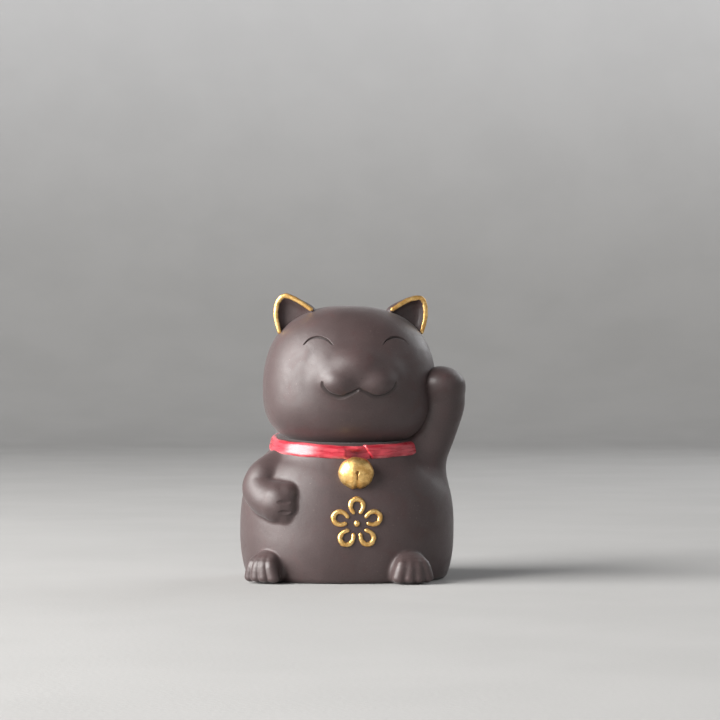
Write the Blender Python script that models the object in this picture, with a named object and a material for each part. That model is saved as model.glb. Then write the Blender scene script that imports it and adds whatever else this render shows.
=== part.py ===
"""Beckoning cat figurine in unglazed clay, as the separate pieces that are luted together or painted on.

Metres, +Z up. The cat faces -Y and stands on z = 0; its own left is +X. The origin is the middle of
its footprint. Run it with: blender --background --python part.py
"""

import math
from typing import NamedTuple

import bmesh
import bpy
from mathutils import Matrix, Vector

# Driving dimensions. Points are given from the figure's own upright axis.
AXIS_X, AXIS_Y = -0.00078, -0.00011  # that axis, from the middle of the footprint
GAP = 0.0003  # between neighbouring pieces
WALL = 0.0030  # of the hollow body and head

NECK_Z = 0.0360  # height of the neck joint on the axis
NECK_TILT = math.radians(5.4)  # the neck joint is lower at the chest
NECK_BORE = 0.0110  # radius of the passage between body and head
BASE_THICK = 0.0032
VENT_RADIUS = 0.0030

STRAP_WIDTH, STRAP_THICK = 0.0033, 0.0005
STRAP_DROP = 0.0019  # from the neck joint to the middle of the strap
STRAP_FROM, STRAP_TO = math.radians(-264), math.radians(57)  # azimuths from the chest towards +X
LOOP_HALF = math.radians(7.5)  # half the azimuth that the bell loop takes
LOOP_RAISE, LOOP_WIDTH, LOOP_THICK = 0.0005, 0.0024, 0.0012
STRAP_CLEAR = math.radians(1.2)  # azimuth between the loop and each strap

BELL_Z, BELL_RADII = 0.0272, (0.0044, 0.0032, 0.0041)
SOUND_HOLE_RADIUS, SOUND_HOLE_DEPTH = 0.0006, 0.0010
SLOT_WIDTH, SLOT_DEPTH = 0.0006, 0.0008
EMBLEM_Z, PETALS, STROKE_RADIUS = 0.0150, 5, 0.00048

EAR_THICK, EAR_Y = 0.0034, -0.0050
EAR_YAW, EAR_PIVOT = math.radians(12), 0.0140  # each ear turns outwards about this distance from the middle
RIM_RADIUS, RIM_INSET = 0.00055, 0.82  # the rim keeps this share of the ear's size
FOOT_SEAT_Z, FOOT_TOP_Z = 0.0040, 0.0080  # where a foot meets the body, and its highest point
TOES, TOE_RADII = 4, (0.0014, 0.0025, 0.0023)

# Each finish: colour, roughness, metallic.
CLAY = ((0.105, 0.074, 0.068), 0.62, 0.0)
GOLD = ((0.72, 0.45, 0.12), 0.35, 1.0)
RED = ((0.48, 0.02, 0.04), 0.30, 0.0)


class Egg(NamedTuple):
    """A rounded block: superellipses in plan and in height, with its own powers above and below."""

    centre: tuple
    half_width: float
    half_depth: float
    rise: float
    drop: float
    rise_power: float
    drop_power: float
    plan_power: float = 2.2

    def grown(self, by):
        return self._replace(
            half_width=self.half_width + by,
            half_depth=self.half_depth + by,
            rise=self.rise + by,
            drop=self.drop + by,
        )

    def reach(self, ray):
        """The factor that takes this ray, from the centre, out to the surface."""
        height, power = (self.rise, self.rise_power) if ray.z > 0 else (self.drop, self.drop_power)
        across = abs(ray.x / self.half_width) ** self.plan_power
        along = abs(ray.y / self.half_depth) ** self.plan_power
        return ((across + along) ** (power / self.plan_power) + abs(ray.z / height) ** power) ** (-1 / power)

    def point(self, azimuth, z):
        """The surface point at this height, at an azimuth counted from -Y towards +X."""
        lift = z - self.centre[2]
        height, power = (self.rise, self.rise_power) if lift > 0 else (self.drop, self.drop_power)
        outward = Vector((math.sin(azimuth), -math.cos(azimuth), 0))
        outward *= self.reach(outward) * max(0, 1 - abs(lift / height) ** power) ** (1 / power)
        return Vector(self.centre) + outward + Vector((0, 0, lift))


BODY = Egg((0, 0, 0.0120), 0.0270, 0.0226, rise=0.0242, drop=0.0246, rise_power=2.8, drop_power=2.45)
NECK = Egg((0, -0.0010, 0.0260), 0.0190, 0.0170, rise=0.0180, drop=0.0100, rise_power=5, drop_power=2.4)
HEAD_CENTRE = (0.0003, -0.0030, 0.0480)
HEAD = Egg(HEAD_CENTRE, 0.0218, 0.0185, rise=0.0208, drop=0.0152, rise_power=2.4, drop_power=2.8)


# The raised arm as (x, y, z, radius), and the resting one, which lies on the body, as (azimuth in
# degrees, z, radius, how far it stands proud). Each paw is (centre, radii).
RAISED_ARM = [
    (0.0170, -0.0040, 0.0262, 0.0062),
    (0.0186, -0.0056, 0.0312, 0.0056),
    (0.0216, -0.0072, 0.0393, 0.0058),
    (0.0226, -0.0077, 0.0438, 0.0060),
    (0.0225, -0.0083, 0.0473, 0.0058),
]
RAISED_PAW = (0.0224, -0.0108, 0.0490), (0.0058, 0.0054, 0.0042)
RESTING_ARM = [
    (-69, 0.0288, 0.0026, 0.0010),
    (-69, 0.0280, 0.0035, 0.0021),
    (-68, 0.0257, 0.0045, 0.0034),
    (-66, 0.0232, 0.0048, 0.0037),
    (-60, 0.0212, 0.0048, 0.0036),
    (-52, 0.0201, 0.0048, 0.0036),
]
RESTING_PAW = (-0.0175, -0.0155, 0.0198), (0.0048, 0.0048, 0.0048)


def clear_scene():
    for obj in list(bpy.data.objects):
        bpy.data.objects.remove(obj)


def material(name, finish):
    colour, roughness, metallic = finish
    made = bpy.data.materials.new(name)
    made.use_nodes = True
    shader = made.node_tree.nodes["Principled BSDF"]
    shader.inputs["Base Color"].default_value = (*colour, 1)
    shader.inputs["Roughness"].default_value = roughness
    shader.inputs["Metallic"].default_value = metallic
    made.diffuse_color = (*colour, 1)
    return made


def new_object(name, bm, finish=None):
    """A smooth object from a bmesh, under the figure. One with no finish is a cutter or an addition."""
    bmesh.ops.recalc_face_normals(bm, faces=bm.faces)
    mesh = bpy.data.meshes.new(name)
    bm.to_mesh(mesh)
    bm.free()
    mesh.shade_smooth()
    mesh.set_sharp_from_angle(angle=math.radians(40))
    obj = bpy.data.objects.new(name, mesh)
    bpy.context.scene.collection.objects.link(obj)
    obj.parent = figure
    if finish:
        mesh.materials.append(finish)
    else:
        obj.hide_render = True
        obj.display_type = "WIRE"
    return obj


def boolean(obj, operation, other):
    modifier = obj.modifiers.new(f"{operation.lower()} {other.name}", "BOOLEAN")
    modifier.operation = operation
    modifier.object = other
    modifier.solver = "EXACT"


def egg_mesh(egg, segments=36, rings=22):
    """A sphere whose points are pushed out to the egg's surface."""
    bm = bmesh.new()
    bmesh.ops.create_uvsphere(bm, u_segments=segments, v_segments=rings, radius=1)
    for vert in bm.verts:
        vert.co = Vector(egg.centre) + vert.co * egg.reach(vert.co)
    return bm


def blob_mesh(centre, radii, segments=14, rings=9, turn=0.0):
    """An ellipsoid with its poles in front and behind, turned about the vertical."""
    bm = bmesh.new()
    poles_forward = Matrix.Rotation(math.pi / 2, 4, "X")
    place = Matrix.Translation(centre) @ Matrix.Rotation(turn, 4, "Z") @ Matrix.Diagonal((*radii, 1))
    bmesh.ops.create_uvsphere(
        bm, u_segments=segments, v_segments=rings, radius=1, matrix=place @ poles_forward
    )
    return bm


def box_mesh(low, high):
    bm = bmesh.new()
    low, high = Vector(low), Vector(high)
    place = Matrix.Translation((low + high) / 2) @ Matrix.Diagonal((*(high - low), 1))
    bmesh.ops.create_cube(bm, size=1, matrix=place)
    return bm


def drum_mesh(radius, low_z, high_z, segments=36):
    bm = bmesh.new()
    middle = Matrix.Translation((0, 0, (low_z + high_z) / 2))
    bmesh.ops.create_cone(
        bm,
        cap_ends=True,
        segments=segments,
        radius1=radius,
        radius2=radius,
        depth=high_z - low_z,
        matrix=middle,
    )
    return bm


def curve_through(points, steps):
    """Points along a Catmull-Rom curve through these. Each may carry a radius after its place."""
    last = len(points) - 1
    found = []
    for i in range(last):
        near = [points[min(max(i + k, 0), last)] for k in (-1, 0, 1, 2)]
        for step in range(steps):
            t = step / steps
            weights = (
                (-(t**3) + 2 * t**2 - t) / 2,
                (3 * t**3 - 5 * t**2 + 2) / 2,
                (-3 * t**3 + 4 * t**2 + t) / 2,
                (t**3 - t**2) / 2,
            )
            found.append(tuple(sum(w * v for w, v in zip(weights, values)) for values in zip(*near)))
    return found + [tuple(points[-1])]


def rounded_ends(path, rings):
    """The path of (x, y, z, radius) with a half-ball of shrinking rings added at each end."""
    caps = []
    for end, inner in ((path[0], path[1]), (path[-1], path[-2])):
        tip, radius = Vector(end[:3]), end[3]
        outward = (tip - Vector(inner[:3])).normalized()
        angles = [math.pi / 2 * (k + 1) / (rings + 0.3) for k in range(rings)]
        caps.append([(*(tip + outward * radius * math.sin(a)), radius * math.cos(a)) for a in angles])
    return caps[0][::-1] + path + caps[1]


def tube_mesh(path, bevel_resolution, cap_rings):
    """A round limb along (x, y, z, radius) points, from a bevelled curve with filled caps."""
    path = rounded_ends(path, cap_rings)
    curve = bpy.data.curves.new("limb", "CURVE")
    curve.dimensions = "3D"
    curve.bevel_depth = 1
    curve.bevel_resolution = bevel_resolution
    curve.use_fill_caps = True
    spline = curve.splines.new("POLY")
    spline.points.add(len(path) - 1)
    for point, (x, y, z, radius) in zip(spline.points, path):
        point.co = (x, y, z, 1)
        point.radius = radius
    carrier = bpy.data.objects.new("limb", curve)
    bm = bmesh.new()
    bm.from_mesh(bpy.data.meshes.new_from_object(carrier))
    bpy.data.objects.remove(carrier)
    bmesh.ops.remove_doubles(bm, verts=bm.verts, dist=1e-6)
    return bm


def neck_height(y):
    """Height of the neck joint's plane at this depth."""
    return NECK_Z + y * math.tan(NECK_TILT)


def neck_side(name, low, high):
    """A cutter on one side of the neck joint, between two heights above its plane."""
    wide = 0.05
    bm = box_mesh((-wide, -wide, low), (wide, wide, high))
    bm.transform(Matrix.Translation((0, 0, NECK_Z)) @ Matrix.Rotation(NECK_TILT, 4, "X"))
    return new_object(name, bm)


def shared_cutters():
    """What several pieces are cut by: the table, both sides of the neck joint and the pieces they meet."""
    return {
        "table": new_object("cut_table", box_mesh((-0.05, -0.05, -0.03), (0.05, 0.05, 0))),
        "above_neck": neck_side("cut_above_neck", 0, 0.05),
        "below_neck": neck_side("cut_below_neck", -0.05, GAP),
        "passage": new_object("cut_passage", drum_mesh(NECK_BORE, 0.028, 0.042)),
        "body": new_object("cut_body", egg_mesh(BODY.grown(GAP))),
        "neck": new_object("cut_neck", egg_mesh(NECK.grown(GAP))),
        "head": new_object("cut_head", egg_mesh(HEAD.grown(GAP))),
    }


def cut_by(obj, cutters, *names):
    for name in names:
        boolean(obj, "DIFFERENCE", cutters[name])


def build_body(cutters, clay):
    """The hollow body, open below for the base and above for the neck, and the slab that closes it."""
    hollow = BODY.grown(-WALL)
    body = new_object("body_shell", egg_mesh(BODY), clay)
    boolean(body, "UNION", new_object("add_neck", egg_mesh(NECK)))
    boolean(body, "DIFFERENCE", new_object("cut_body_hollow", egg_mesh(hollow, 28, 16)))
    cut_by(body, cutters, "table", "above_neck", "passage")

    base = new_object("base_slab", egg_mesh(hollow.grown(-GAP), 28, 16), clay)
    above = box_mesh((-0.05, -0.05, BASE_THICK), (0.05, 0.05, 0.06))
    boolean(base, "DIFFERENCE", new_object("cut_above_base", above))
    boolean(base, "DIFFERENCE", new_object("cut_vent", drum_mesh(VENT_RADIUS, -0.01, 0.01, 24)))
    cut_by(base, cutters, "table")


def build_head(cutters, clay):
    """The hollow head, with two cheeks and a nose raised on its front, open at the neck."""
    head = new_object("head_shell", egg_mesh(HEAD), clay)
    middle = HEAD.centre[0] + 0.0003
    front = HEAD.centre[1] - HEAD.half_depth
    raised = {
        "right_cheek": ((middle - 0.0045, front + 0.0026, 0.0500), (0.0056, 0.0045, 0.0040)),
        "left_cheek": ((middle + 0.0045, front + 0.0026, 0.0500), (0.0056, 0.0045, 0.0040)),
        "nose": ((middle, front + 0.0020, 0.0535), (0.0046, 0.0040, 0.0034)),
    }
    for name, (centre, radii) in raised.items():
        boolean(head, "UNION", new_object(f"add_{name}", blob_mesh(centre, radii)))
    boolean(head, "DIFFERENCE", new_object("cut_head_hollow", egg_mesh(HEAD.grown(-WALL), 28, 16)))
    cut_by(head, cutters, "passage", "below_neck")


def build_ear(side, name, cutters, clay, gold):
    """An ear plate rooted in the head, and the rim painted along its front edge, on one side."""
    edge = [
        (0.0179, 0.0612),
        (0.0190, 0.0658),
        (0.0188, 0.0693),
        (0.0176, 0.0713),
        (0.0159, 0.0718),
        (0.0129, 0.0705),
        (0.0087, 0.0677),
    ]
    root = [(0.0100, 0.0560), (0.0160, 0.0560)]
    turn = Matrix.Translation((EAR_PIVOT, 0, 0)) @ Matrix.Rotation(EAR_YAW, 4, "Z")
    turn @= Matrix.Translation((-EAR_PIVOT, 0, 0))
    place = Matrix.Translation((HEAD.centre[0], EAR_Y, 0)) @ Matrix.Diagonal((side, 1, 1, 1)) @ turn

    bm = bmesh.new()
    face = bm.faces.new([bm.verts.new((x, -EAR_THICK / 2, z)) for x, z in curve_through(edge, 2) + root])
    back = bmesh.ops.extrude_face_region(bm, geom=[face])["geom"]
    back_verts = [item for item in back if isinstance(item, bmesh.types.BMVert)]
    bmesh.ops.translate(bm, vec=(0, EAR_THICK, 0), verts=back_verts)
    bm.transform(place)
    ear = new_object(f"ear_{name}", bm, clay)
    cut_by(ear, cutters, "head")

    ahead = -EAR_THICK / 2 - GAP - RIM_RADIUS
    middle_x = sum(x for x, _ in edge) / len(edge)
    middle_z = sum(z for _, z in edge) / len(edge)
    path = [
        (middle_x + (x - middle_x) * RIM_INSET, ahead, middle_z + (z - middle_z) * RIM_INSET, RIM_RADIUS)
        for x, z in curve_through(edge, 2)
    ]
    rim_bm = tube_mesh(path, 2, 2)
    rim_bm.transform(place)
    rim = new_object(f"ear_rim_{name}", rim_bm, gold)
    cut_by(rim, cutters, "head")


def build_arm(name, joints, paw_centre, paw_radii, cutters, clay):
    """An arm through (x, y, z, radius) joints, ending in a round paw, seated on what it touches."""
    arm = new_object(name, tube_mesh(curve_through(joints, 3), 3, 3), clay)
    boolean(arm, "UNION", new_object(f"add_{name}_paw", blob_mesh(paw_centre, paw_radii, 18, 12)))
    cut_by(arm, cutters, "body", "neck", "head")


def on_body(course):
    """Joints of a limb that lies on the body and stands proud of it."""
    joints = []
    for azimuth, z, radius, proud in course:
        x, y, z = BODY.point(math.radians(azimuth), z)
        inwards = 1 - (radius - proud) / math.hypot(x, y)
        joints.append((x * inwards, y * inwards, z, radius))
    return joints


def build_foot(name, azimuth, toe_turn, size, cutters, clay):
    """A hind foot on the table: a round instep with toes fanned in front of it."""
    instep = BODY.point(azimuth, FOOT_SEAT_Z)
    instep.z = FOOT_TOP_Z - size
    forward = Vector((math.sin(toe_turn), -math.cos(toe_turn), 0))
    across = Vector((math.cos(toe_turn), math.sin(toe_turn), 0))
    spread, ahead, set_back = size * 0.46, size * 0.62, 0.0006
    foot = new_object(f"foot_{name}", blob_mesh(instep, (size, size, size), 20, 12, toe_turn), clay)
    for i in range(TOES):
        aside = i - (TOES - 1) / 2
        centre = instep + across * aside * spread + forward * (ahead - abs(aside) * set_back)
        centre.z = TOE_RADII[2] - GAP
        toe = blob_mesh(centre, TOE_RADII, 10, 7, toe_turn)
        boolean(foot, "UNION", new_object(f"add_{name}_toe_{i}", toe))
    cut_by(foot, cutters, "table", "body")


def build_tail(cutters, clay):
    """A short tail, laid along the back of the body and curled up at its tip."""
    course = ((180, 0.0042, 0.0033), (160, 0.0048, 0.0034), (141, 0.0068, 0.0032), (130, 0.0100, 0.0027))
    joints = [(*BODY.point(math.radians(azimuth), z), radius) for azimuth, z, radius in course]
    tail = new_object("tail", tube_mesh(curve_through(joints, 4), 3, 3), clay)
    cut_by(tail, cutters, "body", "table")


def band_mesh(start, end, segments, width, thick, raised):
    """A band round the neck between two azimuths, clear of the neck and body by the gap."""
    bm = bmesh.new()
    profile = ((GAP, -1), (GAP + thick, -1), (GAP + thick, 0), (GAP + thick, 1), (GAP, 1), (GAP, 0))
    rings = []
    for step in range(segments + 1):
        azimuth = start + (end - start) * step / segments
        middle = neck_height(NECK.point(azimuth, NECK_Z - STRAP_DROP).y) - STRAP_DROP + raised
        ring = []
        for out, share in profile:
            z = middle + share * width / 2
            shells = (NECK.grown(out).point(azimuth, z), BODY.grown(out).point(azimuth, z))
            ring.append(bm.verts.new(max(shells, key=lambda point: point.xy.length)))
        rings.append(ring)
    for ring, following in zip(rings, rings[1:]):
        for k in range(len(profile)):
            after = (k + 1) % len(profile)
            bm.faces.new((ring[k], ring[after], following[after], following[k]))
    bm.faces.new(rings[0])
    bm.faces.new(rings[-1])
    return bm


def build_collar(red):
    """The strap round the neck, in two lengths, and the loop between them that holds the bell."""
    straps = {"collar_long_strap": (STRAP_FROM, -LOOP_HALF - STRAP_CLEAR, 40)}
    straps["collar_short_strap"] = (LOOP_HALF + STRAP_CLEAR, STRAP_TO, 10)
    for name, (start, end, segments) in straps.items():
        new_object(name, band_mesh(start, end, segments, STRAP_WIDTH, STRAP_THICK, 0), red)
    new_object("bell_loop", band_mesh(-LOOP_HALF, LOOP_HALF, 6, LOOP_WIDTH, LOOP_THICK, LOOP_RAISE), red)


def build_bell(cutters, gold):
    """The bell on the chest, with a round sound hole above a slot in its front."""
    centre = BODY.point(0, BELL_Z) + Vector((0, -0.0006, 0))
    bell = new_object("bell", blob_mesh(centre, BELL_RADII, 28, 18), gold)
    front = centre.y - BELL_RADII[1]
    hole = drum_mesh(SOUND_HOLE_RADIUS, 0, 0.01, 12)
    inwards = Matrix.Translation((0, front + SOUND_HOLE_DEPTH, BELL_Z))
    hole.transform(inwards @ Matrix.Rotation(math.pi / 2, 4, "X"))
    slot_low = (-SLOT_WIDTH / 2, front - 0.01, BELL_Z - 0.01)
    slot = box_mesh(slot_low, (SLOT_WIDTH / 2, front + SLOT_DEPTH, BELL_Z))
    boolean(bell, "DIFFERENCE", new_object("cut_bell_slot", slot))
    boolean(bell, "DIFFERENCE", new_object("cut_sound_hole", hole))
    cut_by(bell, cutters, "body", "neck")


def on_belly(across, up):
    """Where a stroke's middle lies, this far across and up from the middle of the emblem."""
    height = EMBLEM_Z + up
    shell = BODY.grown(GAP + STROKE_RADIUS)
    return (across, shell.point(math.asin(across / shell.half_depth), height).y, height)


def build_emblem(gold):
    """A blossom in raised strokes: one open stroke for each petal round a small middle."""
    half_petal = [(0.0023, 0.0006), (0.0038, 0.0015), (0.0053, 0.0013)]
    petal = [(out, -aside) for out, aside in half_petal] + [(0.0060, 0)] + half_petal[::-1]
    for i in range(PETALS):
        turn = math.pi / 2 + i * 2 * math.pi / PETALS
        path = []
        for out, aside in curve_through(petal, 2):
            across = out * math.cos(turn) - aside * math.sin(turn)
            up = out * math.sin(turn) + aside * math.cos(turn)
            path.append((*on_belly(across, up), STROKE_RADIUS))
        new_object(f"emblem_petal_{i + 1}", tube_mesh(path, 1, 2), gold)
    middle = (STROKE_RADIUS * 1.6, STROKE_RADIUS, STROKE_RADIUS * 1.6)
    new_object("emblem_middle", blob_mesh(on_belly(0, 0), middle, 10, 6), gold)


clear_scene()
figure = bpy.data.objects.new("figure", None)
figure.location = (AXIS_X, AXIS_Y, 0)
bpy.context.scene.collection.objects.link(figure)
clay = material("clay", CLAY)
gold = material("gold_paint", GOLD)
red = material("red_paint", RED)

cutters = shared_cutters()
build_body(cutters, clay)
build_head(cutters, clay)
build_ear(1, "left", cutters, clay, gold)
build_ear(-1, "right", cutters, clay, gold)
build_arm("raised_arm", RAISED_ARM, *RAISED_PAW, cutters, clay)
build_arm("resting_arm", on_body(RESTING_ARM), *RESTING_PAW, cutters, clay)
build_foot("right", math.radians(-56), math.radians(-36), 0.0046, cutters, clay)
build_foot("left", math.radians(34), math.radians(10), 0.0051, cutters, clay)
build_tail(cutters, clay)
build_collar(red)
build_bell(cutters, gold)
build_emblem(gold)
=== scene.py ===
"""Looks of the beckoning cat figurine: unglazed clay, painted gold and red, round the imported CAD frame.

Shapes are worked out in millimetres from the figure's upright axis. The cat faces -Y and its own left
is +X. A clay form is a field: a function of points that is negative inside and close to a distance in
millimetres. A surface net turns a field into a mesh, whose points then settle on the exact surface.
"""

import itertools
import math
from typing import NamedTuple

import bmesh
import bpy
import numpy as np
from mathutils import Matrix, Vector


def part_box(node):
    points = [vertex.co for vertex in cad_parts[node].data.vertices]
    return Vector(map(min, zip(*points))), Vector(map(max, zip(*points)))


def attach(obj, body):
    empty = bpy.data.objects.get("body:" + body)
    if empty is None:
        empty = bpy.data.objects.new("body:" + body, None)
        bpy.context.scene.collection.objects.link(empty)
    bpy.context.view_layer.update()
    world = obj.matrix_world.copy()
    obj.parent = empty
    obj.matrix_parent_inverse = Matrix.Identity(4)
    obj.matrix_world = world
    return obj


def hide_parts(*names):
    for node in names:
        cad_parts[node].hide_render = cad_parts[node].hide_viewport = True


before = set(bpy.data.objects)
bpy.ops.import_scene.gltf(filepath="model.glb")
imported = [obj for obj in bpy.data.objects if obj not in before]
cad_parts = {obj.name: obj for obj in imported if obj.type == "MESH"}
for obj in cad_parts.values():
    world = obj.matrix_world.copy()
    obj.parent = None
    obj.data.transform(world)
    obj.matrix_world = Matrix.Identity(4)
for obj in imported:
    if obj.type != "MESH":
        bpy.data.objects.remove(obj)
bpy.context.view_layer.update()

MM = 0.001  # in Blender's metres
TINY = 1e-6  # keeps powers and quotients finite at the middle of a form

# The figure's axis, where it meets the table, in millimetres from the frame's origin.
AXIS = np.array(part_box("body_shell")).mean(0) / MM * (1, 1, 0)


def low_high(node):
    """A CAD node's lowest and highest corners, in millimetres from the figure's axis."""
    return np.array(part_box(node)) / MM - AXIS


def centre_of(node):
    """The middle of a CAD node's box, in the same terms."""
    return low_high(node).mean(0)


# ---- fields


class Egg(NamedTuple):
    """A rounded block: superellipses in plan and in height, with its own powers above and below."""

    centre: tuple
    half_width: float
    half_depth: float
    rise: float
    drop: float
    rise_power: float
    drop_power: float
    plan_power: float = 2.2

    def grown(self, by):
        """The same shape with its surface this much further out."""
        return self._replace(
            half_width=self.half_width + by,
            half_depth=self.half_depth + by,
            rise=self.rise + by,
            drop=self.drop + by,
        )


def egg(p, shape):
    """Distance to an egg, to first order."""
    offset = p - shape.centre
    above = offset[:, 2] > 0
    height = np.where(above, shape.rise, shape.drop)
    power = np.where(above, shape.rise_power, shape.drop_power)
    across = np.abs(offset[:, 0]) / shape.half_width + TINY
    along = np.abs(offset[:, 1]) / shape.half_depth + TINY
    up = np.abs(offset[:, 2]) / height + TINY
    plan = across**shape.plan_power + along**shape.plan_power
    reach = (plan ** (power / shape.plan_power) + up**power) ** (1 / power)
    plan_slope = plan ** (power / shape.plan_power - 1)
    slope = (
        (plan_slope * across ** (shape.plan_power - 1) / shape.half_width) ** 2
        + (plan_slope * along ** (shape.plan_power - 1) / shape.half_depth) ** 2
        + (up ** (power - 1) / height) ** 2
    )
    return (reach - 1) / (reach ** (1 - power) * np.sqrt(slope))


def blob(p, centre, radii, turn=0.0):
    """Distance to an ellipsoid turned about the vertical, to first order."""
    offset = p - centre
    cos, sin = math.cos(turn), math.sin(turn)
    first = offset[:, 0] * cos + offset[:, 1] * sin
    second = offset[:, 1] * cos - offset[:, 0] * sin
    turned = np.stack((first, second, offset[:, 2]), 1)
    reach = np.linalg.norm(turned / radii, axis=1) + TINY
    slope = np.linalg.norm(turned / np.square(radii), axis=1) + TINY
    return reach * (reach - 1) / slope


def limb(p, path):
    """Distance to a chain of round cones through (x, y, z, radius) points."""
    nearest = np.full(len(p), np.inf)
    for start, end in zip(path, path[1:]):
        span = end[:3] - start[:3]
        offset = p - start[:3]
        share = np.clip(offset @ span / (span @ span), 0, 1)
        gap = np.linalg.norm(offset - share[:, None] * span, axis=1)
        nearest = np.minimum(nearest, gap - start[3] - share * (end[3] - start[3]))
    return nearest


def smooth_min(a, b, blend):
    """Union of two fields with a fillet where they meet."""
    overlap = np.maximum(blend - np.abs(a - b), 0) / blend
    return np.minimum(a, b) - overlap**2 * blend / 4


def smooth_max(a, b, blend):
    """What two fields share, with a rounded edge where they meet."""
    return -smooth_min(-a, -b, blend)


def curve_through(points, steps):
    """Points along a Catmull-Rom curve through these, as an array."""
    points = np.array(points, float)
    padded = np.concatenate((points[:1], points, points[-1:]))
    shares = np.linspace(0, 1, steps, endpoint=False)[:, None]
    weights = (
        (-(shares**3) + 2 * shares**2 - shares) / 2,
        (3 * shares**3 - 5 * shares**2 + 2) / 2,
        (-3 * shares**3 + 4 * shares**2 + shares) / 2,
        (shares**3 - shares**2) / 2,
    )
    runs = [sum(w * padded[i + k] for k, w in enumerate(weights)) for i in range(len(points) - 1)]
    return np.concatenate(runs + [points[-1:]])


def unevenness(p, size, depth):
    """Hand-made unevenness: slow ripples about this far apart and this deep. The other numbers only
    keep the ripples from lining up."""
    turns = p * (2 * math.pi / size)
    x, y, z = turns.T
    return depth / 3 * (
        np.sin(x + 0.7 * np.sin(0.8 * z))
        + np.sin(0.9 * y + 1.3 + 0.6 * np.sin(0.7 * x))
        + np.sin(1.1 * z + 0.4 + 0.8 * np.sin(0.6 * y))
    )


# ---- meshes from fields


def sample(field, low, high, step, block=4):
    """The field on a grid. It is exact near the surface; elsewhere only its sign is right."""
    margin = 1.5  # a surface within a block is nearer to its middle than this many blocks
    low, high = np.array(low, float), np.array(high, float)
    blocks = np.ceil((high - low) / (step * block)).astype(int)
    origins = np.indices(blocks).reshape(3, -1).T * block
    middles = low + (origins + (block - 1) / 2) * step
    rough = field(middles)
    near = np.abs(rough) < step * block * margin
    values = rough.reshape(blocks)
    for axis in range(3):
        values = values.repeat(block, axis)
    within = np.indices((block,) * 3).reshape(3, -1).T
    fine = (origins[near][:, None] + within).reshape(-1, 3)
    values[tuple(fine.T)] = field(low + fine * step)
    return values


def surface_net(values, low, step):
    """Points and quads of the zero surface of a sampled field."""
    inside = values < 0
    shape = np.array(values.shape)
    corners = list(itertools.product((0, 1), repeat=3))

    def shifted(grid, corner):
        return grid[tuple(slice(c, n - 1 + c) for c, n in zip(corner, shape))]

    count = sum(shifted(inside, corner).astype(np.int8) for corner in corners)
    cells = np.argwhere((count > 0) & (count < 8))
    index = np.full(shape - 1, -1)
    index[tuple(cells.T)] = np.arange(len(cells))

    at = {corner: values[tuple((cells + corner).T)] for corner in corners}
    total = np.zeros((len(cells), 3))
    crossings = np.zeros((len(cells), 1))
    for start, end in itertools.combinations(corners, 2):
        if sum(abs(a - b) for a, b in zip(start, end)) != 1:
            continue
        crossed = (at[start] < 0) != (at[end] < 0)
        share = at[start] / np.where(crossed, at[start] - at[end], 1)
        place = np.array(start) + share[:, None] * (np.array(end) - start)
        total += place * crossed[:, None]
        crossings += crossed[:, None]
    points = np.array(low) + (cells + total / crossings) * step

    faces = []
    for axis in range(3):
        first, second = (axis + 1) % 3, (axis + 2) % 3
        ahead = np.roll(inside, -1, axis)
        crossed = inside != ahead
        crossed[tuple(slice(-1, None) if a == axis else slice(None) for a in range(3))] = False
        edges = np.argwhere(crossed)
        one, two = np.eye(3, dtype=int)[first], np.eye(3, dtype=int)[second]
        ring = [index[tuple((edges - shift).T)] for shift in (one + two, two, 0 * one, one)]
        quads = np.stack(ring, 1)
        leaving = inside[tuple(edges.T)]
        quads[~leaving] = quads[~leaving][:, ::-1]
        faces.append(quads)
    return points, np.concatenate(faces)


def slope_of(field, points, reach=0.02):
    """The field's gradient, from a tetrahedron of samples round each point."""
    corners = np.array(((1, -1, -1), (-1, -1, 1), (-1, 1, -1), (1, 1, 1)))
    total = sum(corner * field(points + corner * reach)[:, None] for corner in corners)
    return total / (4 * reach)


def settle(field, points, rounds=3, furthest=0.3):
    """Moves points onto the field's zero surface, a limited way in each round."""
    least = 0.05  # of a squared slope, so that no step runs away where the field is flat
    for _ in range(rounds):
        slope = slope_of(field, points)
        square = np.maximum((slope**2).sum(1), least)[:, None]
        move = slope * (field(points)[:, None] / square)
        length = np.linalg.norm(move, axis=1, keepdims=True)
        points = points - move * np.minimum(1, furthest / np.maximum(length, TINY))
    return points


def relax(points, faces):
    """Evens out the mesh by moving each point halfway to the middle of its neighbours."""
    total = np.zeros_like(points)
    count = np.zeros((len(points), 1))
    for here, there in zip(faces.T, np.roll(faces, -1, 1).T):
        for a, b in ((here, there), (there, here)):
            np.add.at(total, a, points[b])
            np.add.at(count, a, 1)
    return (points + total / count) / 2


def net_of(field, low, high, step):
    """An even mesh of quads over a field."""
    points, faces = surface_net(sample(field, low, high, step), low, step)
    points = settle(field, points, 1)
    points = settle(field, relax(points, faces), 2)
    return points, faces


def divide_near(points, faces, near, times):
    """Splits the faces where near(points) holds, to carry finer detail, and makes all faces triangles."""
    bm = bmesh.new()
    verts = [bm.verts.new(point) for point in points]
    for face in faces:
        bm.faces.new([verts[i] for i in face])
    for _ in range(times):
        bm.faces.ensure_lookup_table()
        middles = np.array([face.calc_center_median() for face in bm.faces])
        edges = {edge for i in np.flatnonzero(near(middles)) for edge in bm.faces[i].edges}
        bmesh.ops.subdivide_edges(bm, edges=list(edges), cuts=1, use_grid_fill=True)
    bmesh.ops.triangulate(bm, faces=bm.faces)
    bm.verts.index_update()
    points = np.array([vert.co for vert in bm.verts])
    faces = np.array([[vert.index for vert in face.verts] for face in bm.faces])
    bm.free()
    return points, faces


HALVINGS = 30  # rounds of a search for a surface
INNERMOST, OUTERMOST, FOREMOST = 8.0, 34.0, -40.0  # radii inside and outside of the body; y ahead of it


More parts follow.
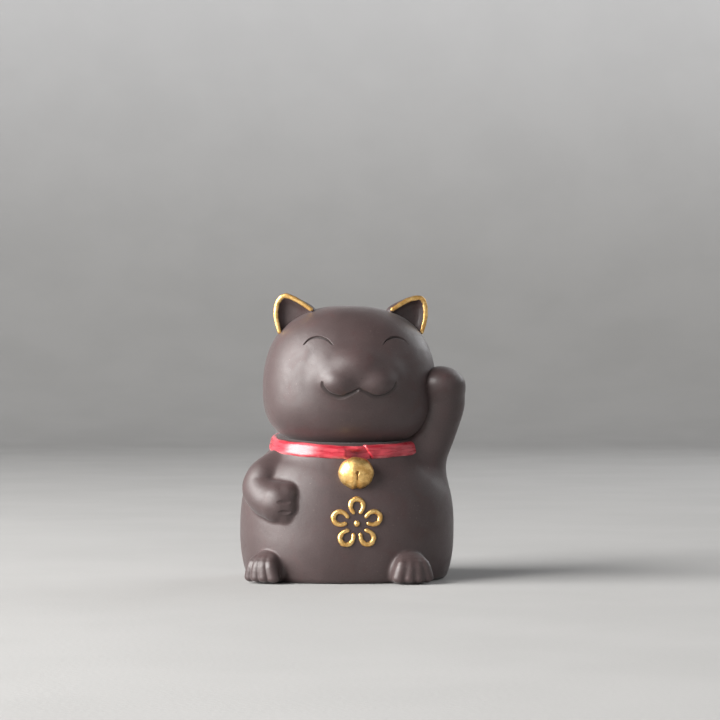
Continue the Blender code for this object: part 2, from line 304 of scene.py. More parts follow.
def surface_between(form, point_at, inside, outside):
    """Narrows down where a surface lies between a reach inside the form and one outside it."""
    for _ in range(HALVINGS):
        middle = (inside + outside) / 2
        out = form(point_at(middle)) > 0
        inside, outside = np.where(out, inside, middle), np.where(out, middle, outside)
    return inside, outside


def outside_of(form, azimuth, z):
    """Points on a form at these azimuths, from -Y towards +X, and heights."""
    direction = np.stack((np.sin(azimuth), -np.cos(azimuth)), 1)

    def point_at(radius):
        return np.column_stack((direction * radius[:, None], z))

    _, radius = surface_between(form, point_at, np.full(len(z), INNERMOST), np.full(len(z), OUTERMOST))
    return point_at(radius)


def ahead_of(form, x, z):
    """Points on a form's front at these places across and heights."""

    def point_at(y):
        return np.stack((x, y, z), 1)

    y, _ = surface_between(form, point_at, np.zeros(len(x)), np.full(len(x), FOREMOST))
    return point_at(y)


def engrave(form, points, lines, depth):
    """Presses round-bottomed lines of (x, y, z, half width) into a surface. Returns points and normals."""
    margin = 2.0  # more than half the width of any line

    def depth_at(p):
        pressed = np.zeros(len(p))
        for line in lines:
            low, high = line[:, :3].min(0) - margin, line[:, :3].max(0) + margin
            close = ((p > low) & (p < high)).all(1)
            widest = line[:, 3].max()
            share = 1 + limb(p[close], line) / widest  # 0 on the line, 1 at its edge
            pressed[close] = np.maximum(pressed[close], np.clip(1 - share**2, 0, 1) ** 1.5 * depth)
        return pressed

    normals = unit(slope_of(form, points, 0.05))
    tilted = unit(normals + slope_of(depth_at, points, 0.03))
    return points - normals * depth_at(points)[:, None], tilted


# ---- objects


def unit(vectors):
    """Vectors brought to a length of 1."""
    return vectors / np.maximum(np.linalg.norm(vectors, axis=-1, keepdims=True), TINY)


def order(face, flip):
    """A face's corners, in reverse where it would face inwards."""
    return tuple(face[::-1]) if flip else tuple(face)


def disc_faces(rings, hub, flip=False):
    """Faces from a middle point out over rings of points round it."""
    first = rings[0]
    faces = [order((a, b, hub), flip) for a, b in zip(first, np.roll(first, -1))]
    for inner, outer in zip(rings, rings[1:]):
        quads = zip(inner, outer, np.roll(outer, -1), np.roll(inner, -1))
        faces += [order(quad, flip) for quad in quads]
    return faces


def add_attribute(mesh, name, values):
    """A number at each point, for the material to read."""
    attribute = mesh.attributes.new(name, "FLOAT", "POINT")
    attribute.data.foreach_set("value", values.astype(np.float32))


def add_flow(mesh, flow):
    """A UV map that runs along and across a painted stroke."""
    layer = mesh.uv_layers.new(name="flow")
    corner_points = np.empty(len(mesh.loops), int)
    mesh.loops.foreach_get("vertex_index", corner_points)
    layer.uv.foreach_set("vector", flow[corner_points].astype(np.float32).ravel())


def make_piece(name, points, faces, slot, finish, normals=None, flow=None, painted_shade_and_thin_paint=None):
    """A smooth object that stands for the CAD node of its name. Flow is (along, across) at each point
    of a painted stroke. The last argument, kept as the groove attribute, is a share from 0 to 1 at each
    point: painted shade in engraved lines and holes, and thin paint at the edges of strokes and bands."""
    mesh = bpy.data.meshes.new(name)
    mesh.from_pydata(((points + AXIS) * MM).tolist(), [], [tuple(map(int, face)) for face in faces])
    mesh.validate()
    mesh.shade_smooth()
    if flow is not None:
        add_flow(mesh, flow)
    add_attribute(mesh, "groove", np.zeros(len(points)) if painted_shade_and_thin_paint is None else painted_shade_and_thin_paint)
    if normals is not None:
        mesh.normals_split_custom_set_from_vertices(normals.tolist())
    obj = bpy.data.objects.new(name, mesh)
    bpy.context.scene.collection.objects.link(obj)
    mesh.materials.append(finish)
    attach(obj, "root")
    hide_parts(name)
    return obj


# ---- clay forms

NECK_Z, NECK_TILT = 36.0, math.radians(5.4)  # the neck joint is lower at the chest
BODY_HIGH = low_high("body_shell")[1]
HEAD_LOW, HEAD_HIGH = low_high("head_shell")
HEAD_Z, HEAD_DEPTH = 48.0, 18.5

# Centre, half width, half depth, rise and drop; the powers say how square the outline is.
BODY = Egg((0, 0, 12.0), BODY_HIGH[0], BODY_HIGH[1], 24.2, 24.6, rise_power=2.8, drop_power=2.45)
NECK = Egg((0, -1.0, 26.0), 19.0, 17.0, 18.0, 10.0, rise_power=5, drop_power=2.4)
HEAD_CENTRE = centre_of("head_shell")[0], HEAD_HIGH[1] - HEAD_DEPTH, HEAD_Z
HEAD_HALF, HEAD_RISE = (HEAD_HIGH[0] - HEAD_LOW[0]) / 2, HEAD_HIGH[2] - HEAD_Z
HEAD = Egg(HEAD_CENTRE, HEAD_HALF, HEAD_DEPTH, HEAD_RISE, 15.2, rise_power=2.4, drop_power=2.8)
WALL, RECESS_TOP = 3.0, 5.5  # thickness of the shell, and how far up the recess below it goes
HOLLOW = BODY.grown(-WALL)
NET_STEP = 0.42  # size of a square in the meshes of the body and the head


def egg_point(shape, azimuth, z):
    """A point on an egg, at a height and an azimuth from -Y towards +X. Takes arrays."""
    lift = z - shape.centre[2]
    height = np.where(lift > 0, shape.rise, shape.drop)
    power = np.where(lift > 0, shape.rise_power, shape.drop_power)
    narrowing = np.maximum(0, 1 - np.abs(lift / height) ** power) ** (1 / power)
    x, y = np.sin(azimuth), -np.cos(azimuth)
    across, along = np.abs(x / shape.half_width), np.abs(y / shape.half_depth)
    plan = across**shape.plan_power + along**shape.plan_power
    radius = narrowing * plan ** (-1 / shape.plan_power)
    middle_x, middle_y, _ = shape.centre
    return np.stack(np.broadcast_arrays(middle_x + x * radius, middle_y + y * radius, z), -1)


def above_neck(p):
    """Height above the tilted plane of the neck joint."""
    return (p[:, 2] - NECK_Z) * math.cos(NECK_TILT) - p[:, 1] * math.sin(NECK_TILT)


def body_form(p):
    """The body up to the rounded ledge that the head sits on."""
    shell = smooth_min(egg(p, BODY), egg(p, NECK), blend=2.0) + unevenness(p, size=21, depth=0.10)
    return smooth_max(shell, above_neck(p), blend=1.6)


SHOULDER = (15.6, -3.6, 25.4, 6.8), (18.7, -5.5, 31.2, 5.9)  # x, y, z, radius
FOREARM = (21.5, -7.2, 39.3, 6.0), (22.5, -7.9, 43.8, 6.3), (22.6, -8.6, 46.8, 6.2)
RAISED_ARM = curve_through(SHOULDER + FOREARM, steps=4)
RAISED_PAW = (22.7, -11.0, 49.2), (5.6, 5.2, 3.8)  # centre and radii


def raised_arm_form(p):
    """The arm beside the head, with the paw folded forward."""
    arm = limb(p, RAISED_ARM)
    return smooth_min(arm, blob(p, *RAISED_PAW), blend=2.4) + unevenness(p, size=13, depth=0.06)


def on_body(course):
    """A limb through joints of (azimuth in degrees, z, radius, how far it stands proud of the body)."""
    joints = []
    for azimuth, z, radius, proud in course:
        x, y, z = egg_point(BODY, math.radians(azimuth), z)
        inwards = 1 - (radius - proud) / math.hypot(x, y)
        joints.append((x * inwards, y * inwards, z, radius))
    return curve_through(joints, steps=9)


UPPER_ARM = (-69, 29.2, 2.6, 1.0), (-68, 28.2, 3.4, 1.8), (-67, 25.8, 4.5, 3.3)
LOWER_ARM = (-66, 23.2, 4.9, 3.8), (-60, 21.2, 4.9, 3.7), (-52, 20.1, 4.9, 3.7)
RESTING_ARM = on_body(UPPER_ARM + LOWER_ARM)
RESTING_PAW = (-17.6, -15.5, 19.9), (4.8, 4.8, 4.9)  # centre and radii
# The three fingers at the end of the paw: how far towards the belly's middle and out from it, z, radius.
FINGERS = (1.9, 0.1, 22.0, 2.85), (2.5, 0.7, 18.8, 2.35), (1.8, 0.5, 16.8, 2.15)
CREASE_HEIGHTS, CREASE_AZIMUTHS, CREASE_POINTS = (20.2, 17.7), (-43.5, -39), 12  # between the fingers
CREASE_DEPTH, CREASE_HALF_WIDTH, CREASE_SWELL = 0.32, 0.35, 0.45  # the swell widens its middle
# Size of the fillet along the flank, and what is added to it from this height on, over this rise.
FLANK_FILLET, SHOULDER_FILLET, SHOULDER_Z, SHOULDER_RISE = 0.7, 1.6, 24.5, 6.0


def resting_arm_form(p):
    """The arm bent across the flank, with its paw on the belly."""
    centre, radii = np.array(RESTING_PAW)
    form = smooth_min(limb(p, RESTING_ARM), blob(p, centre, radii), blend=1.5)
    outward = unit(np.array((centre[0], centre[1], 0)))
    towards = np.array((-outward[1], outward[0], 0))
    fist = np.full(len(p), np.inf)
    for along, out, z, radius in FINGERS:
        x, y, _ = centre + towards * along + outward * out
        fist = smooth_min(fist, blob(p, (x, y, z), (radius, radius, radius)), blend=0.15)
    return smooth_min(form, fist, blend=0.7) + unevenness(p, size=12, depth=0.06)


def resting_fillet(p):
    """The arm grows out of the shoulder above and stands clear of the flank and belly."""
    up = np.clip((p[:, 2] - SHOULDER_Z) / SHOULDER_RISE, 0, 1)
    return FLANK_FILLET + SHOULDER_FILLET * up**2 * (3 - 2 * up)


TOES, TOE_RADIUS, TOE_TOP_RADIUS = 4, 1.7, 1.7 * 0.8
FOOT_Z, INSTEP_TOP, INSTEP_DEPTH = 4.0, 8.0, 0.95  # the depth is a share of the foot's size
OUTER_TOE_BACK = 0.6  # for each place from the middle of the foot
# In shares of the foot's size: how far apart, how far forward and how far up toes start and end, and
# how far forward and up they bend in between.
TOE_TOP, TOE_TIP, TOE_BEND = (0.22, 0.18, 0.55), (0.46, 0.82), (0.20, 0.16)


def toes_of(instep, toe_turn, size):
    """Each toe as a curve of (x, y, z, radius) from the instep to the table."""
    forward = np.array((math.sin(toe_turn), -math.cos(toe_turn), 0))
    across = np.array((math.cos(toe_turn), math.sin(toe_turn), 0))
    toes = []
    for i in range(TOES):
        aside = i - (TOES - 1) / 2
        top = instep + across * aside * size * TOE_TOP[0] + forward * size * TOE_TOP[1]
        top = top + (0, 0, size * TOE_TOP[2])
        reach = size * TOE_TIP[1] - abs(aside) * OUTER_TOE_BACK
        tip = instep + across * aside * size * TOE_TIP[0] + forward * reach
        tip[2] = TOE_RADIUS
        bend = (top + tip) / 2 + forward * size * TOE_BEND[0] + (0, 0, size * TOE_BEND[1])
        spine = [(*top, TOE_TOP_RADIUS), (*bend, TOE_RADIUS), (*tip, TOE_RADIUS)]
        toes.append(curve_through(spine, steps=4))
    return toes


def foot_form(azimuth, toe_turn, size, crease):
    """A hind foot on the table: a low instep with long toes fanned over its front. The crease is how
    softly the toes run together."""
    instep = egg_point(BODY, azimuth, FOOT_Z)
    instep[2] = INSTEP_TOP - size
    toes = toes_of(instep, toe_turn, size)

    def form(p):
        foot = blob(p, instep, (size, size * INSTEP_DEPTH, size), toe_turn)
        fan = limb(p, toes[0])
        for toe in toes[1:]:
            fan = smooth_min(fan, limb(p, toe), crease)
        return smooth_min(foot, fan, blend=0.8) + unevenness(p, size=9, depth=0.05)

    return form


TAIL = on_body([(180, 4.2, 3.3, 3.3), (160, 4.8, 3.4, 3.4), (141, 6.8, 3.2, 3.2), (130, 10.0, 2.7, 2.7)])


def tail_form(p):
    """A short tail laid along the back and curled up at its tip."""
    return limb(p, TAIL) + unevenness(p, size=9, depth=0.06)


# Each part that grows out of the body: its form, and the size of the fillet round it.
LIMBS = {
    "raised_arm": (raised_arm_form, lambda p: 4.0),
    "resting_arm": (resting_arm_form, resting_fillet),
    "foot_left": (foot_form(math.radians(34), math.radians(10), size=5.1, crease=0.6), lambda p: 0.9),
    "foot_right": (foot_form(math.radians(-56), math.radians(-36), size=4.6, crease=0.25), lambda p: 0.7),
    "tail": (tail_form, lambda p: 1.4),
}
PARTS = ["body_shell", *LIMBS]
FIGURE_LOW, FIGURE_HIGH = (-30, -28, -1.5), (31, 28, 56)  # a box round all of them


def recess(p):
    """The hollow under the body that the base slab closes."""
    return smooth_max(egg(p, HOLLOW), p[:, 2] - RECESS_TOP, blend=1.0)


def figure_form(p):
    """The body with its limbs, standing on the table, hollow underneath."""
    form = body_form(p)
    for limb_form, fillet in LIMBS.values():
        form = smooth_min(form, limb_form(p), fillet(p))
    form = smooth_max(form, -p[:, 2], blend=1.4)
    return smooth_max(form, -recess(p), blend=0.7)


def owners_of(points, faces):
    """The name of the part that each face belongs to, with borders smoothed by votes of the faces round
    each point."""
    body_lead, recess_margin, votings = 0.2, 0.6, 6
    middles = points[faces].mean(1)
    reach = np.stack([body_form(middles) - body_lead] + [form(middles) for form, _ in LIMBS.values()])
    owner = reach.argmin(0)
    owner[recess(middles) < recess_margin] = 0
    for _ in range(votings):
        votes = np.zeros((len(points), len(PARTS)))
        for corner in faces.T:
            np.add.at(votes, (corner, owner), 1)
        shared = votes[faces].sum(1)
        shared[np.arange(len(faces)), owner] += 1
        owner = shared.argmax(1)
    return np.array(PARTS)[owner]


def rims_of(faces):
    """The closed loops of edges that these faces leave open, running as the faces do."""
    edges = {(int(a), int(b)) for face in faces for a, b in zip(face, np.roll(face, -1))}
    onward = {}
    for a, b in edges:
        if (b, a) not in edges:
            onward.setdefault(a, []).append(b)
    loops = []
    while onward:
        start = next(iter(onward))
        loop, here = [], start
        while here in onward:
            following = onward[here].pop()
            if not onward[here]:
                del onward[here]
            loop.append(here)
            here = following
        loops.append(loop)
    return loops


def near_fine_parts(p):
    """Where toes and fingers need a finer mesh."""
    margin = 0.5
    feet = np.minimum(LIMBS["foot_left"][0](p), LIMBS["foot_right"][0](p))
    return np.minimum(feet, resting_arm_form(p)) < margin


def finger_lines():
    """The creases between the fingers of the resting paw, as (x, y, z, half width)."""
    azimuth = np.radians(np.linspace(*CREASE_AZIMUTHS, CREASE_POINTS))
    widths = CREASE_HALF_WIDTH + CREASE_SWELL * np.sin(np.linspace(0, math.pi, CREASE_POINTS))
    lines = []
    for z in CREASE_HEIGHTS:
        course = outside_of(figure_form, azimuth, np.full(CREASE_POINTS, z))
        lines.append(np.column_stack((course, widths)))
    return lines


def close_rims(points, normals, faces):
    """Closes a surface's open rims, each with a fan of triangles round its middle."""
    closed = [tuple(face) for face in faces]
    for loop in rims_of(faces):
        hub = len(points)
        points = np.vstack((points, points[loop].mean(0)))
        normals = np.vstack((normals, (0, 0, 1)))
        closed += [(b, a, hub) for a, b in zip(loop, loop[1:] + loop[:1])]
    return points, normals, closed


def build_figure(clay):
    """The body and its limbs as one surface, divided into closed pieces that share their borders."""
    points, faces = net_of(figure_form, FIGURE_LOW, FIGURE_HIGH, NET_STEP)
    points, faces = divide_near(points, faces, near_fine_parts, times=1)
    points = settle(figure_form, points, rounds=2)
    owner = owners_of(points, faces)
    points, normals = engrave(figure_form, points, finger_lines(), CREASE_DEPTH)
    for name in PARTS:
        own = faces[owner == name]
        used, own_faces = np.unique(own, return_inverse=True)
        piece = close_rims(points[used], normals[used], own_faces.reshape(own.shape))
        piece_points, piece_normals, piece_faces = piece
        make_piece(name, piece_points, piece_faces, "clay", clay, piece_normals)


SLAB_LOW, SLAB_HIGH, SLAB_GAP, VENT_RADIUS = 0.2, 3.2, 0.15, 3.0


def slab_form(p):
    """A slab that fits the hollow, with rounded edges and a hole through its middle."""
    slab = smooth_max(egg(p, HOLLOW.grown(-SLAB_GAP)), p[:, 2] - SLAB_HIGH, blend=0.6)
    slab = smooth_max(slab, SLAB_LOW - p[:, 2], blend=0.6)
    bore = VENT_RADIUS - np.hypot(p[:, 0], p[:, 1])
    return smooth_max(slab, bore, blend=0.7) + unevenness(p, size=11, depth=0.08)


def build_base(clay):
    """The slab luted into the underside, with its vent."""
    points, faces = net_of(slab_form, (-26, -22, -0.6), (26, 22, 4.2), step=0.4)
    normals = unit(slope_of(slab_form, points, reach=0.06))
    make_piece("base_slab", points, faces, "clay", clay, normals)


# ---- head

FACE_X = HEAD.centre[0] + 0.3
FACE_Y = HEAD.centre[1] - HEAD.half_depth
LOBE = 4.55  # from the middle of the face to the middle of each mouth arc
SWELLINGS = (  # aside from the face's middle, behind its front, z, radii, and the fillet round it
    (0, 3.2, 51.2, (10.4, 5.2, 6.2), 3.4),  # muzzle
    (-LOBE, 1.7, 49.6, (5.0, 4.4, 3.7), 1.2),  # one cheek
    (LOBE, 1.7, 49.6, (5.0, 4.4, 3.7), 1.2),  # the other
    (0, 1.7, 53.9, (4.3, 3.1, 2.5), 3.2),  # nose
)
# The mouth and an eye, from the middle of each to one end: how far aside, z, half the line's width.
HALF_MOUTH = [(0, 47.9, 0.50), (1.0, 47.4, 0.60), (3.2, 46.3, 0.75), (5.0, 46.0, 0.85)]
HALF_MOUTH += [(7.3, 46.8, 0.85), (8.8, 48.3, 0.80), (9.1, 49.4, 0.55)]
HALF_EYE = [(0, 60.75, 0.40), (2.0, 60.2, 0.34), (3.4, 58.9, 0.18)]
EYE_ASIDE, FACE_LINE_DEPTH = 9.7, 0.42
HEAD_ROOM_LOW, HEAD_ROOM_HIGH = (2, 7, 2), (2, 2, 8)  # round the head's egg, for all that stands proud


def head_form(p):
    """The head with the broad soft mound of its muzzle, two cheeks and a low nose."""
    form = egg(p, HEAD) + unevenness(p, size=19, depth=0.09)
    for aside, behind, z, radii, fillet in SWELLINGS:
        form = smooth_min(form, blob(p, (FACE_X + aside, FACE_Y + behind, z), radii), fillet)
    return form


def face_lines():
    """The engraved mouth, one curve through both arcs, and the closed eyes, as (x, y, z, half width)."""
    lines = []
    for at, half in ((0, HALF_MOUTH), (-EYE_ASIDE, HALF_EYE), (EYE_ASIDE, HALF_EYE)):
        whole = [(-aside, z, width) for aside, z, width in half[:0:-1]] + half
        curve = [(FACE_X + at + aside, z, width) for aside, z, width in whole]
        x, z, width = curve_through(curve, steps=6).T
        lines.append(np.column_stack((ahead_of(head_form, x, z), width)))
    return lines


def build_head(clay):
    """The head with its face engraved, and painted shade in the engraved lines."""
    lines, margin = face_lines(), 0.45

    def near_lines(p):
        return np.minimum.reduce([limb(p, line) for line in lines]) < margin

    size = np.array((HEAD.half_width, HEAD.half_depth, HEAD.drop))
    low = HEAD.centre - size - HEAD_ROOM_LOW
    high = HEAD.centre + size + HEAD_ROOM_HIGH
    points, faces = net_of(head_form, low, high, NET_STEP)
    points, faces = divide_near(points, faces, near_lines, times=2)
    smooth = settle(head_form, points, rounds=3)
    points, normals = engrave(head_form, smooth, lines, FACE_LINE_DEPTH)
    # Painted shade: how deep each point lies in an engraved line, from 0 to 1.
    painted_shade_and_thin_paint = np.clip(np.linalg.norm(points - smooth, axis=1) / FACE_LINE_DEPTH, 0, 1)
    make_piece("head_shell", points, faces, "clay", clay, normals, painted_shade_and_thin_paint=painted_shade_and_thin_paint)


# ---- ears

EAR_YAW, EAR_PIVOT = math.radians(12), 14.0
EAR_MIDDLE = np.array((14.6, 64.6))  # across and up
EAR_EDGES = {  # the free edge of each ear, by side of the head; the left tip is set further out
    -1: [(17.9, 61.2), (19.0, 65.8), (18.8, 69.3), (17.6, 71.3), (15.9, 71.8), (12.9, 70.5), (8.7, 67.7)],
    1: [(18.0, 61.2), (19.2, 65.6), (19.2, 68.9), (18.5, 70.8), (16.9, 71.4), (13.4, 70.4), (8.9, 67.7)],
}
EAR_ROOT = [(8.6, 63.0), (10.5, 58.5), (15.0, 57.0), (17.2, 58.5)]
EAR_HALF_THICK, EAR_RECESS, RIM_SHARE = 1.7, 1.9, 0.82
EAR_RINGS, EAR_STEPS = 21, 8  # rings from its middle to its edge, and points for each stretch of edge


def ear_place(side, across, depth, up):
    """Turns ear coordinates into figure coordinates, on one side of the head."""
    offset = across - EAR_PIVOT
    x = EAR_PIVOT + offset * math.cos(EAR_YAW) - depth * math.sin(EAR_YAW)
    y = offset * math.sin(EAR_YAW) + depth * math.cos(EAR_YAW)
    return np.stack(np.broadcast_arrays(HEAD.centre[0] + side * x, centre_of("ear_left")[1] + y, up), -1)


def ear_front(share):
    """Depth of the ear's front at a share of the way from its middle to its edge."""
    dish = -EAR_HALF_THICK + EAR_RECESS * np.clip(1 - (share / RIM_SHARE) ** 5, 0, 1)
    lip = np.clip((share - RIM_SHARE) / (1 - RIM_SHARE), 0, 1)
    return dish + EAR_HALF_THICK * (1 - np.sqrt(1 - lip**2))


def ear_back(share):
    """Depth of the ear's rounded back at the same share."""
    return EAR_HALF_THICK * math.sqrt(max(0, 1 - share**2.6))


def ear_outline(side):
    """The whole closed edge of an ear, its free edge and its root in the head."""
    closed = EAR_EDGES[side] + EAR_ROOT
    loop = curve_through(closed[-1:] + closed + closed[:2], EAR_STEPS)
    return loop[EAR_STEPS : -EAR_STEPS - 1]


def ear_mesh(side):
    """Points and faces of an ear: rings round its middle, over its front and its back."""
    outline = ear_outline(side)
    front, back = [], []
    for share in np.sin(np.linspace(0, math.pi / 2, EAR_RINGS + 1))[1:]:
        across, up = (EAR_MIDDLE + (outline - EAR_MIDDLE) * share).T
        front.append(ear_place(side, across, ear_front(share), up))
        back.append(ear_place(side, across, ear_back(share), up))
    across, up = EAR_MIDDLE
    hubs = [ear_place(side, across, depth, up) for depth in (ear_front(0.0), ear_back(0.0))]
    points = np.vstack(front + back[:-1] + hubs)
    rings = np.arange(len(points) - 2).reshape(-1, len(outline))
    back_rings = [*rings[EAR_RINGS:], rings[EAR_RINGS - 1]]
    faces = disc_faces(rings[:EAR_RINGS], len(points) - 2, flip=side < 0)
    return points, faces + disc_faces(back_rings, len(points) - 1, flip=side > 0)


def build_ear(side, name, clay, gold):
    """An ear, and the gold line along its front edge."""
    make_piece(f"ear_{name}", *ear_mesh(side), "clay", clay)
    edge = curve_through(EAR_EDGES[side], EAR_STEPS)
    share = 0.5 * (RIM_SHARE + 1) - 0.01  # the middle of the lip round the dish
    across, up = (EAR_MIDDLE + (edge - EAR_MIDDLE) * share).T
    path = ear_place(side, across, ear_front(share) + 0.05, up)
    ahead = ear_place(side, across, ear_front(share) - 1.0, up)
    build_stroke(f"ear_rim_{name}", path, unit(ahead - path), gold, half_width=0.64, height=0.42, taper=0.8)


# ---- painted strokes

STROKE_SIDES, STROKE_SUNK = 16, 0.6  # points round a stroke; how far it sinks, as a share of its height


def stroke_sizes(along, half_width, height, taper):
    """Half the width and the height of a stroke at these lengths along it: round at its ends, narrower
    towards them by the taper, and a little uneven."""
    length = along[-1]
    from_end = np.minimum(along, length - along)
    swell = np.sqrt(np.clip(1 - (1 - np.clip(from_end / half_width, 0, 1)) ** 2, 0.002, 1))
    body = taper + (1 - taper) * np.sin(math.pi * along / length)
    uneven = 1 + 0.06 * np.sin(along * 2.9 + 0.5) + 0.04 * np.sin(along * 5.3)
    return half_width * swell * body * uneven, height * swell * body


def tube_faces(rings):
    """Faces round rings of points, with a fan at each end to one of two points that come after them."""
    faces = []
    for here, after in zip(rings, rings[1:]):
        faces += list(zip(after, np.roll(after, -1), np.roll(here, -1), here))
    faces += [(a, b, rings.size) for a, b in zip(rings[0], np.roll(rings[0], -1))]
    return faces + [(b, a, rings.size + 1) for a, b in zip(rings[-1], np.roll(rings[-1], -1))]


def build_stroke(name, path, outward, gold, half_width, height, taper=1.0):
    """A raised brush stroke along a path: rounded on top, sunk a little into what it is painted on."""
    steps = np.diff(path, axis=0)
    along = np.concatenate(([0], np.cumsum(np.linalg.norm(steps, axis=1))))
    wide, tall = stroke_sizes(along, half_width, height, taper)
    aside = unit(np.cross(unit(np.gradient(path, axis=0)), outward))
    angles = np.arange(STROKE_SIDES) * 2 * math.pi / STROKE_SIDES
    across, upward = np.cos(angles), np.sin(angles)
    rings, flow = [], []
    for i in range(len(path)):
        side_reach = across[:, None] * wide[i] * aside[i]
        rise = np.where(upward > 0, tall[i], tall[i] * STROKE_SUNK) * upward
        rings.append(path[i] + side_reach + rise[:, None] * outward[i])
        flow.append(np.stack((np.full(STROKE_SIDES, along[i]), across), 1))
    points = np.vstack(rings + [path[:1], path[-1:]])
    flow = np.vstack(flow + [((0, 0),), ((along[-1], 0),)])
    faces = tube_faces(np.arange(len(path) * STROKE_SIDES).reshape(-1, STROKE_SIDES))
    # Thin paint, with painted shade, down the stroke's flanks to where it meets the surface; none on its
    # top.
    thin_edge = np.tile(np.clip(1 - upward * 1.6, 0, 1), len(path))
    painted_shade_and_thin_paint = np.concatenate((thin_edge, (1, 1)))
    make_piece(name, points, faces, "gold_paint", gold, flow=flow, painted_shade_and_thin_paint=painted_shade_and_thin_paint)


EMBLEM_Z, PETALS = centre_of("emblem_middle")[2], 5
HALF_PETAL = [(2.3, 0.6), (3.8, 1.5), (5.3, 1.3)]  # out from the emblem's middle, and aside
PETAL_TIP = (6.0, 0.0)


def on_belly(across, up):
    """Points on the belly this far across and up from the emblem's middle, and the way out of it."""
    points = ahead_of(body_form, across, EMBLEM_Z + up)
    return points, unit(slope_of(body_form, points))


def build_emblem(gold):
    """A blossom in raised strokes: one open stroke for each petal round a small middle."""
    petal = [(out, -aside) for out, aside in HALF_PETAL] + [PETAL_TIP] + HALF_PETAL[::-1]
    for i in range(PETALS):
        turn = math.pi / 2 + i * 2 * math.pi / PETALS
        out, aside = curve_through(petal, steps=8).T
        across = out * math.cos(turn) - aside * math.sin(turn)
        up = out * math.sin(turn) + aside * math.cos(turn)
        name = f"emblem_petal_{i + 1}"
        build_stroke(name, *on_belly(across, up), gold, half_width=0.64, height=0.55, taper=0.72)
    across = np.linspace(-0.75, 0.75, 13)
    build_stroke("emblem_middle", *on_belly(across, 0 * across), gold, half_width=0.8, height=0.6)


# ---- collar and bell

STRAP_HALF, STRAP_THICK, STRAP_DROP, STRAP_SUNK = 1.65, 0.55, 1.9, 0.25
STRAP_FROM, STRAP_TO = math.radians(-264), math.radians(57)
LONG_STRAP_TO, SHORT_STRAP_FROM = math.radians(-6), math.radians(9.4)
FOLD_FROM, FOLD_TO = math.radians(-9.5), math.radians(12.5)
BAND_STRIPS = 19  # points across a band


def strap_middle(azimuth):
    """Height of the strap's middle line, which sags a little at the bell."""
    y = egg_point(NECK, azimuth, np.full(len(azimuth), NECK_Z - STRAP_DROP))[:, 1]
    sag = 0.35 * np.exp(-((azimuth / 0.5) ** 2))
    return NECK_Z - STRAP_DROP - sag + 0.2 + y * math.tan(NECK_TILT)


def nowhere(azimuth, share=0):
    """No lift, no slant or no painted shade, anywhere on a band."""
    return np.zeros(azimuth.shape)


def closed_sheet(top, under, grid):
    """A sheet with an underside that shares its edge: points, faces, and the grid points repeated below."""
    inner = grid[1:-1, 1:-1]
    below = grid.copy()
    below[1:-1, 1:-1] = grid.size + np.arange(inner.size).reshape(inner.shape)
    faces = []
    for layer, flip in ((grid, False), (below, True)):
        corners = (layer[:-1, :-1], layer[1:, :-1], layer[1:, 1:], layer[:-1, 1:])
        faces += [order(face, flip) for face in zip(*(corner.ravel() for corner in corners))]
    return np.vstack((top, under[inner.ravel()])), faces, inner.ravel()


def build_band(name, azimuths, red, half, thick, lift=nowhere, slant=nowhere, painted_shade=nowhere):
    """A painted band round the neck. Half its width and its lift are functions of the azimuth, and its
    thickness is one of the azimuth and of the share across it. So are slant, which moves its edges
    along the neck, and the painted shade, which darkens the paint where the band lies in shade."""
    across = np.sin(np.linspace(-math.pi / 2, math.pi / 2, BAND_STRIPS))
    azimuth, share = np.meshgrid(azimuths, across, indexing="ij")
    grid = np.arange(share.size).reshape(share.shape)
    azimuth = (azimuth + slant(azimuth, share)).ravel()
    share = share.ravel()
    z = strap_middle(azimuth) + lift(azimuth) + share * half(azimuth)
    points = outside_of(body_form, azimuth, z)
    outward = unit(slope_of(body_form, points))
    steps = np.arange(len(azimuths))
    from_end = np.repeat(np.minimum(steps, steps[::-1]), len(across))
    rounding = np.sqrt(np.clip(1 - share**6, 0, 1)) * np.sqrt(1 - (1 - np.clip(from_end / 3, 0, 1)) ** 2)
    top = points + outward * ((thick(azimuth, share) + STRAP_SUNK) * rounding - STRAP_SUNK)[:, None]
    points, faces, repeated = closed_sheet(top, points - outward * STRAP_SUNK, grid)

    def with_repeated(values):
        return np.concatenate((values, values[repeated]))

    flow = with_repeated(np.stack((azimuth * NECK.half_width, share), 1))
    thin_edge = with_repeated(np.clip((np.abs(share) - 0.7) / 0.3, 0, 1))
    band = make_piece(name, points, faces, "red_paint", red, flow=flow, painted_shade_and_thin_paint=thin_edge)
    # The painted shade, a number at each point for the finish to darken the paint by.
    add_attribute(band.data, "painted_shade", with_repeated(painted_shade(azimuth, share)))


def strap_half(start, end):
    """Half the strap's width: a little uneven, and rounded at an end that is given."""

    def half(azimuth):
        uneven = 0.05 * np.sin(azimuth * 7.3) + 0.04 * np.sin(azimuth * 17.0 + 1.0)
        width = np.full(len(azimuth), STRAP_HALF) + uneven
        for end_at in (start, end):
            if end_at is not None:
                reach = np.clip(np.abs(azimuth - end_at) * NECK.half_width / 1.3, 0, 1)
                width *= 0.25 + 0.75 * np.sqrt(1 - (1 - reach) ** 2)
        return width

    return half


def build_long_strap(red):
    """The length from behind the raised arm, round the back, to the bell."""

    def thick(azimuth, share):
        return STRAP_THICK * (1 - 0.12 * share)

    azimuths = np.linspace(STRAP_FROM, LONG_STRAP_TO, 320)
    build_band("collar_long_strap", azimuths, red, strap_half(STRAP_FROM, None), thick)


def build_short_strap(red):
    """The length from the bell to the raised arm. It starts thick, at a slanted edge."""
    diagonal = math.radians(3.3)

    def thick(azimuth, share):
        return STRAP_THICK + 0.40 * np.exp(-((azimuth - SHORT_STRAP_FROM) / 0.12))

    def slant(azimuth, share):
        return -diagonal * share * np.clip((STRAP_TO - azimuth) / 0.7, 0, 1)

    azimuths = np.linspace(SHORT_STRAP_FROM, STRAP_TO, 70)
    build_band("collar_short_strap", azimuths, red, strap_half(None, STRAP_TO), thick, slant=slant)


